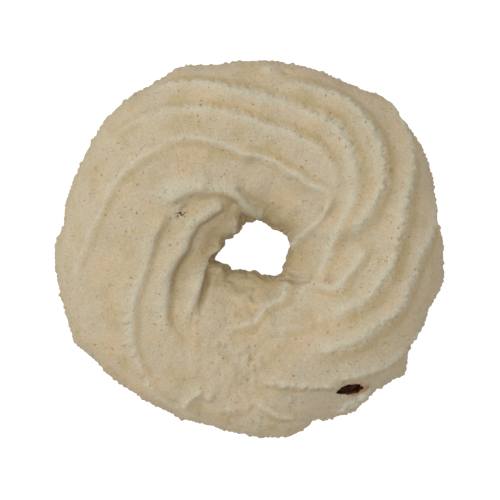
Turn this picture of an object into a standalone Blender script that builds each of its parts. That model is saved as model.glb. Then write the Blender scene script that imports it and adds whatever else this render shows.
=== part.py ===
"""Piped ring butter cookie with twisted star-nozzle ridges and one dark fruit piece in its wall.

Ring angles run clockwise seen from above, from 0 on the left (-X). A turn is the place across the
strand: 0 at its widest on the outside, 90 over the top, 180 at its widest towards the hole.
Lengths are millimetres until the finished mesh is scaled to metres.
"""
import math
from collections import namedtuple

import bpy
import numpy as np
from mathutils import Matrix, Vector, noise

MM = 0.001
COLLECTION = "butter_cookie_ring"
CUTTERS = "cutters"

# Ring seen from above: radii every 15 degrees round the ring, from the left
OUTER_RADII = (30.4, 29.6, 29.7, 30.2, 29.8, 29.5, 29.0, 29.3, 29.6, 30.6, 30.6, 29.4,
               29.6, 29.3, 28.9, 29.5, 29.0, 29.0, 28.8, 27.9, 28.4, 29.1, 30.5, 30.4)
HOLE_RADII = (4.3, 4.2, 3.5, 3.1, 3.2, 4.0, 4.1, 4.4, 4.3, 4.3, 5.0, 5.8,
              5.6, 5.2, 5.4, 5.4, 4.4, 3.5, 3.1, 3.3, 3.5, 4.2, 4.5, 5.9)
RELIEF_INSET = -0.1

# Bumps and dents of the outer edge: angle, half width in degrees, height
Bump = namedtuple("Bump", "angle spread height")
EDGE_BUMPS = (Bump(8, 4, -0.6), Bump(69, 4, 0.5), Bump(81, 4, -0.4), Bump(95, 4, 0.3), Bump(130, 4, 0.6),
              Bump(139, 3, -0.4), Bump(170, 5, -0.5), Bump(189, 4, 0.5), Bump(199, 3, -0.3),
              Bump(211, 2, -0.4), Bump(219, 3.5, 1.2), Bump(229, 2, -0.4), Bump(238, 4, 0.5),
              Bump(250, 3, -0.8), Bump(260, 4, 0.6), Bump(292, 3, 0.4), Bump(324, 4, -0.4), Bump(332, 3, 0.3))
BUMP_TURN = 50.0

# Section of the strand
TOP_HEIGHTS = (13.0, 13.3, 13.6, 13.8, 13.5, 13.0, 12.6, 12.6)
WIDEST_LEVEL = 3.2
SHOULDER_POWER = 0.82
OUTER_TUCK = 0.9
HOLE_TUCK = 0.7
SIDEWAYS_SHARE = 0.6

# Mesh of the strand: steps round the ring and round the section, and the triangles left after thinning
RING_STEPS = 400
TOP_STEPS = 116
FOOT_STEPS = 5
BASE_STEPS = 8
EDGE_CROWDING = 7.0
KEPT_TRIANGLES = 10200
BASE_SNAP = 0.02

# Ridges: start and span in ring degrees, then at even steps the turns of the crest and its heights,
# how far the outer and the inner side reach, and the power of their fall
Ridge = namedtuple("Ridge", "start span turns heights reach power", defaults=(1.5,))
RIDGES = (
    Ridge(40, 108, (40, 52, 67, 79, 83, 87, 101), (0.45, 0.65, 0.7, 0.4), (1.1, 2.2)),
    Ridge(60, 88, (28, 51, 62, 66, 86), (0.9, 1.1, 0.6, 0.9, 0.7), (1.5, 2.6)),
    Ridge(148, 58, (90, 105, 118, 121, 121), (0.8, 0.8, 0.5), (1.5, 1.8)),
    Ridge(102, 70, (45, 42, 54, 73, 100), (1.1, 1.4, 1.4, 1.0), (1.7, 2.2)),
    Ridge(180, 34, (93, 97, 100, 107, 128), (0.8, 0.9, 0.6), (1.1, 2.2)),
    Ridge(132, 88, (11, 45, 69, 78, 98), (1.4, 1.7, 1.4, 0.8), (1.8, 2.4)),
    Ridge(164, 74, (19, 50, 56, 72, 83), (1.4, 1.6, 1.3, 0.7), (1.8, 2.4)),
    Ridge(206, 32, (17, 33, 47, 58), (1.2, 1.3, 1.0), (1.1, 1.9)),
    Ridge(238, 26, (53, 64, 69), (1.0, 0.7), (0.8, 1.4)),
    Ridge(256, 11, (37, 43, 53), (1.0, 0.9), (0.9, 1.0), 2.2),
    Ridge(350, 58, (43, 55, 58, 64, 71), (0.4, 0.6, 0.7), (1.7, 1.0)),
    Ridge(50, 40, (72, 80, 93, 102), (0.6, 0.7, 0.6), (1.4, 1.0)),
    Ridge(84, 60, (100, 102, 107, 108, 104), (0.6, 0.8, 0.8, 0.7), (0.9, 1.3)),
    Ridge(296, 84, (28, 43, 65, 85, 98, 100, 101), (0.5, 0.7, 0.5), (2.2, 0.9)),
    Ridge(31, 79, (101, 108, 115, 125, 144, 155, 162), (0.2, 0.8, 1.1, 1.0), (1.9, 1.2), 2.2),
    Ridge(27, 30, (96, 103, 107), (0.6, 0.7, 0.6), (3.1, 1.3), 3.5),
    Ridge(316, 102, (85, 107.5, 121, 123, 127, 128), (0.5, 0.9, 1.0, 1.0), (1.9, 1.2), 2.5),
    Ridge(309, 52, (94, 121, 138, 152, 156), (0.3, 0.8, 1.0, 1.1), (1.5, 0.7), 2.0),
    Ridge(220, 66, (147, 132, 125, 113, 104), (0.9, 0.8, 0.4), (1.0, 1.4)),
    Ridge(222, 40, (102, 105, 106), (0.4, 0.4), (1.0, 1.2)),
)
FADE_IN = 8.0
FADE_OUT = 14.0
MEAN_RELIEF = 0.35
NOZZLE_WOBBLE = 1.0
LEAN_STEP = 0.02

# Grooves between folds: the same, with depths, and the reach at the start and at the end
Groove = namedtuple("Groove", "start span turns depths reach")
GROOVES = (
    Groove(310, 47, (89, 98, 112, 127, 134), (0.4, 0.5, 0.8, 1.3, 0.8), (0.5, 1.1)),
    Groove(350, 60, (130, 132, 133, 135), (0.3, 0.2, 0.2), (1.1, 1.0)),
    Groove(352, 38, (102, 106, 113), (0.35, 0.4, 0.3), (1.0, 1.2)),
    Groove(318, 26, (105, 116, 130), (0.4, 0.6, 0.4), (1.0, 1.4)),
    Groove(307, 32, (107, 125, 141, 155), (0.4, 1.2, 1.7, 1.2), (0.35, 0.55)),
    Groove(343, 12, (159, 162, 165), (0.9, 0.9), (0.6, 0.6)),
    Groove(44, 20, (118, 123, 129), (0.2, 0.5), (0.8, 0.9)),
    Groove(70, 22, (156, 163, 168), (0.7, 1.0, 0.8), (0.7, 0.8)),
    Groove(76, 30, (125, 139, 152), (0.9, 0.6, 0.3), (0.4, 0.6)),
)

# Pits in the crumb, and lumps with a depth below zero: ring angle, turn, half width, depth
Pit = namedtuple("Pit", "angle turn reach depth")
PITS = (Pit(201, 112, 0.6, 0.8), Pit(151, 59, 0.4, 0.6), Pit(30, 111, 0.4, 0.5), Pit(33, 112, 0.4, 0.4),
        Pit(44, 157, 1.9, -0.9), Pit(5, 159, 1.4, -0.6), Pit(218, 129, 0.9, -0.5), Pit(95, 30, 1.5, -0.8),
        Pit(101, 30, 0.7, 0.7), Pit(292, 95, 0.8, 0.25), Pit(277, 80, 0.5, 0.4), Pit(265, 107, 0.7, 0.3),
        Pit(306, 101, 0.5, 0.4), Pit(296, 31, 0.7, 0.5), Pit(278, 45, 1.0, -0.6), Pit(286, 52, 1.0, -1.0),
        Pit(286, 143, 1.2, 0.5), Pit(227, 105, 0.6, 0.3), Pit(66, 136, 1.0, 0.6),
        Pit(57, 151, 1.3, -0.6), Pit(332, 154, 1.1, -0.6), Pit(284, 92, 0.5, 0.5), Pit(270, 86, 0.5, 0.4),
        Pit(269, 61, 0.7, 0.35), Pit(152.5, 113, 1.0, -0.5))
INNER_MARGIN = 4.0

# Folds that run across the strand: first and last turn, ring angles at even steps, height and reach
Fold = namedtuple("Fold", "first last angles height reach")
FOLDS = (
    Fold(30, 56, (293.5, 292.5, 290), 1.0, 0.7),
    Fold(20, 46, (287, 288, 288.5), -0.35, 0.8),
    Fold(36, 92, (274, 268, 267, 270), -0.14, 0.5),
    Fold(58, 88, (295, 300, 308), -0.12, 0.4),
    Fold(146, 168, (303, 312, 322), -0.5, 0.8),
    Fold(104, 166, (147.5, 155.5, 161, 168, 175), 0.9, 0.8),
    Fold(108, 124, (154.5, 158.5, 163), -0.2, 0.6),
    Fold(128, 156, (208, 212, 216, 221), -1.1, 0.6),
)
FOLD_FADES = 4.0

# Edge of the strand's lapped end: ring angle at even turns from foot to hole
SEAM_ANGLES = (290, 293, 299, 311, 330, 352)
SEAM_STEP = 0.25
SEAM_SOFTNESS = 3.0
SEAM_LENGTH = 26.0

# Unevenness of the dough: size of the lumps and their height
LUMPS = ((6.0, 0.35), (2.6, 0.18))
END_ZONE_LUMPS = 0.35

# Dark fruit piece in the lower right wall and the pocket that it sits in
FRUIT_ANGLE = 235.0
FRUIT_TURN = 40.0
FRUIT_SEMI_AXES = (2.5, 1.1, 1.4)
FRUIT_DEPTH = 1.75
POCKET_SEMI_AXES = (2.9, 1.45, 2.0)
POCKET_DEPTH = 1.5
FRUIT_ROLL = -24.0
FRUIT_LUMPS = 0.16

# Colours, linear
COOKIE_COLOR = (0.51, 0.44, 0.29, 1.0)
FRUIT_COLOR = (0.035, 0.012, 0.007, 1.0)


def through(values, place, closed=False):
    """Smooth curve through evenly spaced values; place runs from 0 to 1."""
    values = np.asarray(values, dtype=float)
    count = len(values)
    steps = count if closed else count - 1
    position = (place % 1.0 if closed else np.clip(place, 0.0, 1.0)) * steps
    first = np.minimum(np.floor(position).astype(int), steps - 1)
    part = position - first
    picks = [(first + step) % count if closed else np.clip(first + step, 0, count - 1)
             for step in (-1, 0, 1, 2)]
    before, start, end, after = (values[pick] for pick in picks)
    return 0.5 * (2.0 * start + (end - before) * part
                  + (2.0 * before - 5.0 * start + 4.0 * end - after) * part ** 2
                  + (3.0 * (start - end) + after - before) * part ** 3)


def smooth_step(value):
    value = np.clip(value, 0.0, 1.0)
    return value * value * (3.0 - 2.0 * value)


def angle_apart(angle, other):
    """Signed ring angle from other to angle, between -180 and 180."""
    return (angle - other + 180.0) % 360.0 - 180.0


def half_width(angle):
    outer = through(OUTER_RADII, angle / 360.0, closed=True)
    hole = through(HOLE_RADII, angle / 360.0, closed=True)
    return (outer - hole) / 2.0


def along_line(line, angle, turn, arc, radius):
    """Place along a ridge or groove, its fade at both ends, and the distance across it."""
    travelled = (angle - line.start + 2.0 * FADE_IN) % 360.0 - 2.0 * FADE_IN
    place = np.clip(travelled / line.span, 0.0, 1.0)
    fade = smooth_step(travelled / FADE_IN + 0.5) * smooth_step((line.span - travelled) / FADE_OUT + 0.5)
    rise = through(line.turns, place + LEAN_STEP) - through(line.turns, place - LEAN_STEP)
    lean = rise / (2.0 * LEAN_STEP * line.span) * arc / (np.radians(1.0) * radius)
    return place, fade, (turn - through(line.turns, place)) * arc / np.sqrt(1.0 + lean ** 2)


def pit_share(pit, angle, turn, arc, radius):
    """Share of a pit's depth at a ring angle and turn."""
    across = (turn - pit.turn) * arc
    along = np.radians(angle_apart(angle, pit.angle)) * radius
    return np.exp(-(across ** 2 + along ** 2) / pit.reach ** 2)


def fold_share(fold, angle, turn, radius):
    """Share of a fold's height at a ring angle and turn."""
    place = (turn - fold.first) / (fold.last - fold.first)
    fade = smooth_step(place * FOLD_FADES + 0.5) * smooth_step((1.0 - place) * FOLD_FADES + 0.5)
    away = np.radians(angle_apart(angle, through(fold.angles, place))) * radius
    return fade * np.exp(-(away / fold.reach) ** 2)


def wobble(angle):
    """Unsteady hand of whoever piped it, in degrees of turn."""
    return NOZZLE_WOBBLE * np.sin(np.radians(angle * 17.0)) * np.sin(np.radians(angle * 5.0))


def relief(angle, turn):
    """Height of the piped surface over the plain section, at a ring angle and turn."""
    arc = np.radians(1.0) * half_width(angle)
    radius = half_width(angle) * (1.0 + np.cos(np.radians(turn))) + INNER_MARGIN
    height = np.full_like(turn, -MEAN_RELIEF)
    for ridge in RIDGES:
        place, fade, distance = along_line(ridge, angle, turn + wobble(angle), arc, radius)
        reach = np.where(distance < 0.0, ridge.reach[0], ridge.reach[1])
        height += through(ridge.heights, place) * fade * np.exp(-np.abs(distance / reach) ** ridge.power)
    for groove in GROOVES:
        place, fade, distance = along_line(groove, angle, turn, arc, radius)
        reach = groove.reach[0] + (groove.reach[1] - groove.reach[0]) * place
        height -= through(groove.depths, place) * fade * np.exp(-(distance / reach) ** 2)
    for pit in PITS:
        height -= pit.depth * pit_share(pit, angle, turn, arc, radius)
    for fold in FOLDS:
        height += fold.height * fold_share(fold, angle, turn, radius)
    return height + seam(angle, turn)


def seam(angle, turn):
    """Raised end of the strand."""
    before = -angle_apart(angle, through(SEAM_ANGLES, turn / 180.0))
    fall = np.clip(1.0 - before / SEAM_LENGTH, 0.0, 1.0)
    return SEAM_STEP * smooth_step(before / SEAM_SOFTNESS + 0.5) * fall


def end_zone(angle):
    """Share of the lumpy stretch before the seam at a ring angle."""
    return np.clip(1.0 - np.abs(angle_apart(angle, 272.0)) / 30.0, 0.0, 1.0)


def lumps(points, angle):
    """Uneven dough: slow noise in space, stronger in the lumpy stretch."""
    height = np.zeros(len(points))
    for size, strength in LUMPS:
        heights = [noise.noise(Vector(point) / size) for point in points]
        height += (strength + END_ZONE_LUMPS * end_zone(angle)) * np.array(heights)
    return height


def section(angle, turn, drop):
    """Plain strand: turn over the top, drop from 0 at the widest level to 1 at the base."""
    outer = through(OUTER_RADII, angle / 360.0, closed=True) - RELIEF_INSET
    foot = smooth_step(1.0 - turn / BUMP_TURN)
    for bump in EDGE_BUMPS:
        outer = outer + foot * bump.height * np.exp(-(angle_apart(angle, bump.angle) / bump.spread) ** 2)
    hole = through(HOLE_RADII, angle / 360.0, closed=True)
    top = through(TOP_HEIGHTS, angle / 360.0, closed=True)
    sideways = np.cos(np.radians(turn))
    upwards = np.clip(np.sin(np.radians(turn)), 0.0, 1.0)
    tuck = np.where(turn < 90.0, OUTER_TUCK, -HOLE_TUCK) * (1.0 - np.sqrt(1.0 - drop ** 2))
    radius = (outer + hole) / 2.0 + (outer - hole) / 2.0 * sideways - tuck
    level = WIDEST_LEVEL * (1.0 - drop) + (top - WIDEST_LEVEL) * upwards ** SHOULDER_POWER
    return radius, level, sideways, upwards


def ring_place(angle, radius, level):
    theta = np.radians(180.0 - angle)
    return np.stack((radius * np.cos(theta), radius * np.sin(theta), level), axis=-1)


def surface(angle, turn, drop):
    """Finished surface of the strand above its base."""
    radius, level, sideways, upwards = section(angle, turn, drop)
    plain = ring_place(angle, radius, level)
    height = (relief(angle, turn) + lumps(plain, angle)) * (1.0 - drop)
    radius = radius + height * SIDEWAYS_SHARE * sideways
    level = level + height * upwards
    return ring_place(angle, radius, level)


def section_steps(step):
    """Turn, drop and share across the base, for a step round the section."""
    if step <= TOP_STEPS:
        share = step / TOP_STEPS
        turn = 180.0 * share + EDGE_CROWDING * math.sin(math.tau * share)
        return turn, 0.0, 0.0
    step -= TOP_STEPS
    if step <= FOOT_STEPS:
        return 180.0, step / FOOT_STEPS, 0.0
    step -= FOOT_STEPS
    if step <= BASE_STEPS:
        return 180.0, 1.0, step / BASE_STEPS
    return 0.0, 1.0 - (step - BASE_STEPS) / FOOT_STEPS, 1.0


def new_material(name, color, roughness):
    material = bpy.data.materials.new(name)
    material.use_nodes = True
    shader = material.node_tree.nodes["Principled BSDF"]
    shader.inputs["Base Color"].default_value = color
    shader.inputs["Roughness"].default_value = roughness
    shader.inputs["Metallic"].default_value = 0.0
    return material


def new_collection(name):
    collection = bpy.data.collections.new(name)
    bpy.context.scene.collection.children.link(collection)
    return collection


def place_in(obj, collection):
    for owner in list(obj.users_collection):
        owner.objects.unlink(obj)
    collection.objects.link(obj)


def shape_strand(mesh):
    """Reshape a primitive torus into the piped strand, on a flat base."""
    steps = TOP_STEPS + 2 * FOOT_STEPS + BASE_STEPS
    corners = np.array([vertex.co for vertex in mesh.vertices])
    angle = (180.0 - np.degrees(np.arctan2(corners[:, 1], corners[:, 0]))) % 360.0
    outwards = np.hypot(corners[:, 0], corners[:, 1]) - 1.0
    step = np.round(np.arctan2(corners[:, 2], outwards) / math.tau * steps).astype(int) % steps
    turn, drop, under = np.array([section_steps(one) for one in step]).T
    points = surface(angle, turn, drop)
    base_ends = [surface(angle, np.full_like(angle, end), np.ones_like(angle)) for end in (180.0, 0.0)]
    base = base_ends[0] + (base_ends[1] - base_ends[0]) * under[:, None]
    on_base = (drop == 1.0)[:, None]
    points = np.where(on_base, base, points)
    points[:, 2] = np.where(on_base[:, 0], 0.0, points[:, 2])
    low, high = points.min(axis=0), points.max(axis=0)
    centre = np.array([(low[0] + high[0]) / 2.0, (low[1] + high[1]) / 2.0, 0.0])
    for vertex, point in zip(mesh.vertices, points - centre):
        vertex.co = Vector(point) * MM
    return centre


def thin_mesh(ring):
    """Keep the triangles where the relief needs them, and the base exactly flat."""
    thin = ring.modifiers.new("thin", "DECIMATE")
    thin.ratio = KEPT_TRIANGLES / (2.0 * len(ring.data.polygons))
    thinned = bpy.data.meshes.new_from_object(ring.evaluated_get(bpy.context.evaluated_depsgraph_get()))
    ring.modifiers.remove(thin)
    ring.data = thinned
    for vertex in thinned.vertices:
        if vertex.co.z < BASE_SNAP * MM:
            vertex.co.z = 0.0


def fruit_frame(centre, depth):
    """Matrix of the fruit piece: X along the wall, Y down its slope, Z out of it, at a depth in mm."""
    angle = np.array([FRUIT_ANGLE])
    turn = np.array([FRUIT_TURN])
    level = np.zeros(1)
    here = surface(angle, turn, level)[0]
    along = surface(angle + 2.0, turn, level)[0] - here
    down = surface(angle, turn - 6.0, level)[0] - surface(angle, turn + 6.0, level)[0]
    along = Vector(along).normalized()
    outwards = along.cross(Vector(down)).normalized()
    if outwards.z < 0.0:
        outwards.negate()
    down = outwards.cross(along).normalized()
    turned = Matrix((along, down, outwards)).transposed().to_4x4()
    middle = Vector(here - centre) - outwards * depth
    return Matrix.Translation(middle * MM) @ turned @ Matrix.Rotation(math.radians(FRUIT_ROLL), 4, "Z")


def shape_ellipsoid(obj, semi_axes, place, lump):
    """Give a unit ball its semi-axes, its lumps and its place."""
    for vertex in obj.data.vertices:
        swell = 1.0 - lump + lump * noise.noise(vertex.co * 2.3)
        vertex.co = Vector(axis * value for axis, value in zip(semi_axes, vertex.co)) * swell * MM
    obj.matrix_world = place


def make_ring(parts):
    bpy.ops.mesh.primitive_torus_add(major_segments=RING_STEPS, minor_radius=0.4, major_radius=1.0,
                                     minor_segments=TOP_STEPS + 2 * FOOT_STEPS + BASE_STEPS)
    ring = bpy.context.object
    ring.name = "cookie_ring"
    ring.data.materials.append(new_material("baked_dough", COOKIE_COLOR, 0.85))
    centre = shape_strand(ring.data)
    thin_mesh(ring)
    ring.data.shade_smooth()
    place_in(ring, parts)
    return ring, centre


def make_fruit(parts, centre):
    bpy.ops.mesh.primitive_ico_sphere_add(subdivisions=4, radius=1.0)
    fruit = bpy.context.object
    fruit.name = "fruit_piece"
    fruit.data.materials.append(new_material("dark_fruit", FRUIT_COLOR, 0.45))
    shape_ellipsoid(fruit, FRUIT_SEMI_AXES, fruit_frame(centre, FRUIT_DEPTH), FRUIT_LUMPS)
    fruit.data.shade_smooth()
    place_in(fruit, parts)


def cut_pocket(ring, cutters, centre):
    bpy.ops.mesh.primitive_uv_sphere_add(segments=24, ring_count=12, radius=1.0)
    pocket = bpy.context.object
    pocket.name = "fruit_pocket"
    shape_ellipsoid(pocket, POCKET_SEMI_AXES, fruit_frame(centre, POCKET_DEPTH), 0.0)
    pocket.hide_render = True
    pocket.display_type = "WIRE"
    place_in(pocket, cutters)
    cut = ring.modifiers.new("fruit_pocket", "BOOLEAN")
    cut.operation = "DIFFERENCE"
    cut.object = pocket


def main():
    for obj in list(bpy.data.objects):
        bpy.data.objects.remove(obj, do_unlink=True)
    parts = new_collection(COLLECTION)
    cutters = new_collection(CUTTERS)
    ring, centre = make_ring(parts)
    make_fruit(parts, centre)
    cut_pocket(ring, cutters, centre)


main()
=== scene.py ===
"""Looks of a piped ring butter cookie: twisted ridges of pale crumb and one dark piece of fruit.

Ring angles run clockwise seen from above, from 0 on the left (-X). A turn is the place across the
strand: 0 at its widest on the outside, 90 over the top, 180 at its widest towards the hole.
The strand is worked out in millimetres and its finished mesh is in metres.
"""
import math
from collections import namedtuple

import bmesh
import bpy
import numpy as np
from bpy.props import FloatProperty, FloatVectorProperty, IntProperty, PointerProperty
from mathutils import Matrix, Vector, noise


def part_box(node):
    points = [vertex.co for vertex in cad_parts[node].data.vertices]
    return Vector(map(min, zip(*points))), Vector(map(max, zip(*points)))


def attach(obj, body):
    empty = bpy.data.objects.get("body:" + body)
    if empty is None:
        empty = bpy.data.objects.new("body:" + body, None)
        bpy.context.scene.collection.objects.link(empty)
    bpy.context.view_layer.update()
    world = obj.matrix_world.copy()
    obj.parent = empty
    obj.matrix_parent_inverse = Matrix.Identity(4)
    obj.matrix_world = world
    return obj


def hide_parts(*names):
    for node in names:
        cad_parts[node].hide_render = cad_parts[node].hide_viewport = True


bl_info = {
    "name": "Piped ring cookie",
    "version": (1, 0, 0),
    "blender": (4, 5, 0),
    "location": "3D View > Sidebar > Cookie",
    "description": "Dresses a piped ring butter cookie: dough, fruit, crumbs and a plain stage",
    "category": "Object",
}

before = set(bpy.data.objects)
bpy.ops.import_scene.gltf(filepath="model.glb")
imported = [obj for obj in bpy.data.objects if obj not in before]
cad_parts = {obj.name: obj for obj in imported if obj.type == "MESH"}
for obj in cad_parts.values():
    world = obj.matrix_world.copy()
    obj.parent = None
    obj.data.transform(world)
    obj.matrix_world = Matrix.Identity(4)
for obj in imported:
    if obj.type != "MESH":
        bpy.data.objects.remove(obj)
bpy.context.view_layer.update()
RING_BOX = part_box("cookie_ring")

MM = 0.001

# Ring seen from above: radii every 15 degrees round the ring, from the left
OUTER_RADII = (30.4, 29.6, 29.7, 30.2, 29.8, 29.5, 29.0, 29.3, 29.6, 30.6, 30.6, 29.4,
               29.6, 29.3, 28.9, 29.5, 29.0, 29.0, 28.8, 27.9, 28.4, 29.1, 30.5, 30.4)
HOLE_RADII = (4.3, 4.2, 3.5, 3.1, 3.2, 4.0, 4.1, 4.4, 4.3, 4.3, 5.0, 5.8,
              5.6, 5.2, 5.4, 5.4, 4.4, 3.5, 3.1, 3.3, 3.5, 4.2, 4.5, 5.9)
RELIEF_INSET = -0.1

# Bumps and dents of the outer edge: angle, half width in degrees, height
Bump = namedtuple("Bump", "angle spread height")
EDGE_BUMPS = (Bump(8, 4, -0.6), Bump(69, 4, 0.5), Bump(81, 4, -0.4), Bump(95, 4, 0.3), Bump(130, 4, 0.6),
              Bump(139, 3, -0.4), Bump(170, 5, -0.5), Bump(189, 4, 0.5), Bump(199, 3, -0.3),
              Bump(211, 2, -0.4), Bump(219, 3.5, 1.2), Bump(229, 2, -0.4), Bump(238, 4, 0.5),
              Bump(250, 3, -0.8), Bump(260, 4, 0.6), Bump(292, 3, 0.4), Bump(324, 4, -0.4), Bump(332, 3, 0.3))
BUMP_TURN = 50.0

# Section of the strand: heights every 45 degrees round the ring, and its mesh below the widest level
TOP_HEIGHTS = (13.0, 13.3, 13.6, 13.8, 13.5, 13.0, 12.6, 12.6)
WIDEST_LEVEL = 3.2
SHOULDER_POWER = 0.82
OUTER_TUCK = 0.9
HOLE_TUCK = 0.7
SIDEWAYS_SHARE = 0.6
EDGE_CROWDING = 7.0
FOOT_STEPS = 6
BASE_STEPS = 8

# Tube that the strand is moved from: its radius for a ring of radius 1, and how near its borders merge
TUBE_RADIUS = 0.4
MERGE_DISTANCE = 0.0001

# Ridges: start and span in ring degrees, then at even steps the turns of the crest and its heights,
# how far the outer and the inner side reach, and the power of their fall
Ridge = namedtuple("Ridge", "start span turns heights reach power", defaults=(1.5,))
RIDGES = (
    Ridge(40, 108, (40, 52, 67, 79, 83, 87, 101), (0.45, 0.65, 0.7, 0.4), (1.1, 2.2)),
    Ridge(60, 88, (28, 51, 62, 66, 86), (0.9, 1.1, 0.6, 0.9, 0.7), (1.5, 2.6)),
    Ridge(148, 58, (90, 105, 118, 121, 121), (0.8, 0.8, 0.5), (1.5, 1.8)),
    Ridge(102, 70, (45, 42, 54, 73, 100), (1.1, 1.4, 1.4, 1.0), (1.7, 2.2)),
    Ridge(180, 34, (93, 97, 100, 107, 128), (0.8, 0.9, 0.6), (1.1, 2.2)),
    Ridge(132, 88, (11, 45, 69, 78, 98), (1.4, 1.7, 1.4, 0.8), (1.8, 2.4)),
    Ridge(164, 74, (19, 50, 56, 72, 83), (1.4, 1.6, 1.3, 0.7), (1.8, 2.4)),
    Ridge(206, 32, (17, 33, 47, 58), (1.2, 1.3, 1.0), (1.1, 1.9)),
    Ridge(238, 26, (53, 64, 69), (1.0, 0.7), (0.8, 1.4)),
    Ridge(256, 11, (37, 43, 53), (1.0, 0.9), (0.9, 1.0), 2.2),
    Ridge(350, 58, (43, 55, 58, 64, 71), (0.4, 0.6, 0.7), (1.7, 1.0)),
    Ridge(50, 40, (72, 80, 93, 102), (0.6, 0.7, 0.6), (1.4, 1.0)),
    Ridge(84, 60, (100, 102, 107, 108, 104), (0.6, 0.8, 0.8, 0.7), (0.9, 1.3)),
    Ridge(296, 84, (28, 43, 65, 85, 98, 100, 101), (0.5, 0.7, 0.5), (2.2, 0.9)),
    Ridge(31, 79, (101, 108, 115, 125, 144, 155, 162), (0.2, 0.8, 1.1, 1.0), (1.9, 1.2), 2.2),
    Ridge(27, 30, (96, 103, 107), (0.6, 0.7, 0.6), (3.1, 1.3), 3.5),
    Ridge(316, 102, (85, 107.5, 121, 123, 127, 128), (0.5, 0.9, 1.0, 1.0), (1.9, 1.2), 2.5),
    Ridge(309, 52, (94, 121, 138, 152, 156), (0.3, 0.8, 1.0, 1.1), (1.5, 0.7), 2.0),
    Ridge(220, 66, (147, 132, 125, 113, 104), (0.9, 0.8, 0.4), (1.0, 1.4)),
    Ridge(222, 40, (102, 105, 106), (0.4, 0.4), (1.0, 1.2)),
)
FADE_IN = 8.0
FADE_OUT = 14.0
MEAN_RELIEF = 0.35
NOZZLE_WOBBLE = 1.0
WOBBLE_WAVES = (17.0, 5.0)
LEAN_STEP = 0.02

# Grooves between folds: the same, with depths, and the reach at the start and at the end
Groove = namedtuple("Groove", "start span turns depths reach")
GROOVES = (
    Groove(310, 47, (89, 98, 112, 127, 134), (0.4, 0.5, 0.8, 1.3, 0.8), (0.5, 1.1)),
    Groove(350, 60, (130, 132, 133, 135), (0.3, 0.2, 0.2), (1.1, 1.0)),
    Groove(352, 38, (102, 106, 113), (0.35, 0.4, 0.3), (1.0, 1.2)),
    Groove(318, 26, (105, 116, 130), (0.4, 0.6, 0.4), (1.0, 1.4)),
    Groove(307, 32, (107, 125, 141, 155), (0.4, 1.2, 1.7, 1.2), (0.35, 0.55)),
    Groove(343, 12, (159, 162, 165), (0.9, 0.9), (0.6, 0.6)),
    Groove(44, 20, (118, 123, 129), (0.2, 0.5), (0.8, 0.9)),
    Groove(70, 22, (156, 163, 168), (0.7, 1.0, 0.8), (0.7, 0.8)),
    Groove(76, 30, (125, 139, 152), (0.9, 0.6, 0.3), (0.4, 0.6)),
)

# Pits in the crumb, and lumps with a depth below zero: ring angle, turn, half width, depth
Pit = namedtuple("Pit", "angle turn reach depth")
PITS = (Pit(201, 112, 0.6, 0.8), Pit(151, 59, 0.4, 0.6), Pit(30, 111, 0.4, 0.5), Pit(33, 112, 0.4, 0.4),
        Pit(44, 157, 1.9, -0.9), Pit(5, 159, 1.4, -0.6), Pit(218, 129, 0.9, -0.5), Pit(95, 30, 1.5, -0.8),
        Pit(101, 30, 0.7, 0.7), Pit(292, 95, 0.8, 0.25), Pit(277, 80, 0.5, 0.4), Pit(265, 107, 0.7, 0.3),
        Pit(306, 101, 0.5, 0.4), Pit(296, 31, 0.7, 0.5), Pit(278, 45, 1.0, -0.6), Pit(286, 52, 1.0, -1.0),
        Pit(286, 143, 1.2, 0.5), Pit(227, 105, 0.6, 0.3), Pit(66, 136, 1.0, 0.6),
        Pit(57, 151, 1.3, -0.6), Pit(332, 154, 1.1, -0.6), Pit(284, 92, 0.5, 0.5), Pit(270, 86, 0.5, 0.4),
        Pit(269, 61, 0.7, 0.35), Pit(152.5, 113, 1.0, -0.5))
INNER_MARGIN = 4.0

# Folds that run across the strand: first and last turn, ring angles at even steps, height and reach
Fold = namedtuple("Fold", "first last angles height reach")
FOLDS = (
    Fold(30, 56, (293.5, 292.5, 290), 1.0, 0.7),
    Fold(20, 46, (287, 288, 288.5), -0.35, 0.8),
    Fold(36, 92, (274, 268, 267, 270), -0.14, 0.5),
    Fold(58, 88, (295, 300, 308), -0.12, 0.4),
    Fold(146, 168, (303, 312, 322), -0.5, 0.8),
    Fold(104, 166, (147.5, 155.5, 161, 168, 175), 0.9, 0.8),
    Fold(108, 124, (154.5, 158.5, 163), -0.2, 0.6),
    Fold(128, 156, (208, 212, 216, 221), -1.1, 0.6),
)
FOLD_FADES = 4.0

# Edge of the strand's lapped end: ring angle at even turns from foot to hole
SEAM_ANGLES = (290, 293, 299, 311, 330, 352)
SEAM_STEP = 0.25
SEAM_SOFTNESS = 3.0
SEAM_LENGTH = 26.0

# Unevenness of the dough: size of the lumps and their height
LUMPS = ((6.0, 0.35), (2.6, 0.18))
END_ZONE_ANGLE = 272.0
END_ZONE_REACH = 30.0
END_ZONE_LUMPS = 0.35

# Dark fruit piece in the lower right wall and the pocket that it sits in
FRUIT_ANGLE = 235.0
FRUIT_TURN = 40.0
FRUIT_SEMI_AXES = (2.55, 1.15, 1.55)
FRUIT_DEPTH = 1.75
POCKET_SEMI_AXES = (2.9, 1.45, 2.0)
POCKET_DEPTH = 1.5
FRUIT_ROLL = -24.0

# Steps in degrees that the directions of the wall are measured over
ALONG_STEP = 2.0
DOWN_STEP = 6.0

# Swell of the two: steps of the ball, then noise scales and their shares
POCKET_DETAIL = 4
POCKET_LUMPS = (3.0, 0.12)
POCKET_CRUMBS = (9.0, 0.07)
FRUIT_DETAIL = 5
FRUIT_LUMPS = 2.3
FRUIT_FOLDS = (6.0, 0.8)
FRUIT_CREASES = (4.0, 1.2)

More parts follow.
